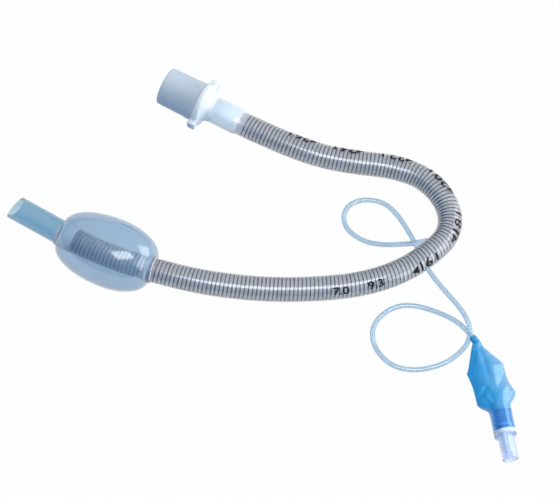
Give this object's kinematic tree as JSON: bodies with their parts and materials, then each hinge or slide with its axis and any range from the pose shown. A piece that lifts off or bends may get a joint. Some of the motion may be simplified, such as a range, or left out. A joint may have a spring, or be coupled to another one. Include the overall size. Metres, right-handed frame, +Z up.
{
  "type": "reinforced endotracheal tube",
  "caption": "Curved wire-reinforced airway tube with an inflated cuff, bevelled tip, male cone connector, inflation line, blue pilot balloon and sprung one-way valve.",
  "frame": {"origin": "on the surface the tube lies on, under the centre of the tube's own box (without the inflation line and what is on it)", "axes": "+Z up from the surface, +X from the cuffed tip end to the outside of the bend, +Y from the cuffed stretch to the connector"},
  "size_m": [0.188, 0.1555, 0.0263],
  "materials": {
    "white_connector": "smooth moulded white polypropylene",
    "clear_wall": "clear soft PVC",
    "coil_steel": "drawn stainless wire",
    "clear_tip": "clear blue-tinted soft PVC",
    "cuff_film": "milky translucent blown film",
    "line_tubing": "clear small-bore tubing",
    "balloon_film": "blue translucent film",
    "clear_valve": "clear rigid moulding",
    "white_valve": "white moulding",
    "seal_rubber": "matt rubber",
    "spring_steel": "steel wire"
  },
  "bodies": {
    "tube": {"connector": "white_connector", "shaft_wall": "clear_wall", "wire_coil": "coil_steel", "tip": "clear_tip", "cuff": "cuff_film", "line_bond": "clear_wall", "inflation_line": "line_tubing", "pilot_balloon": "balloon_film", "valve_housing": "clear_valve", "valve_tail": "clear_valve", "valve_spring": "spring_steel"},
    "plunger": {"valve_plunger": "white_valve", "valve_seal": "seal_rubber"}
  },
  "joints": [
    {"name": "valve_press", "type": "slide", "parent": "tube", "child": "plunger", "axis": [-0.165, 0.9863, 0], "range_m": [0, 0.0015], "stiffness_N_per_m": 400, "springref_m": -0.0015, "deforming": ["valve_spring"]}
  ]
}
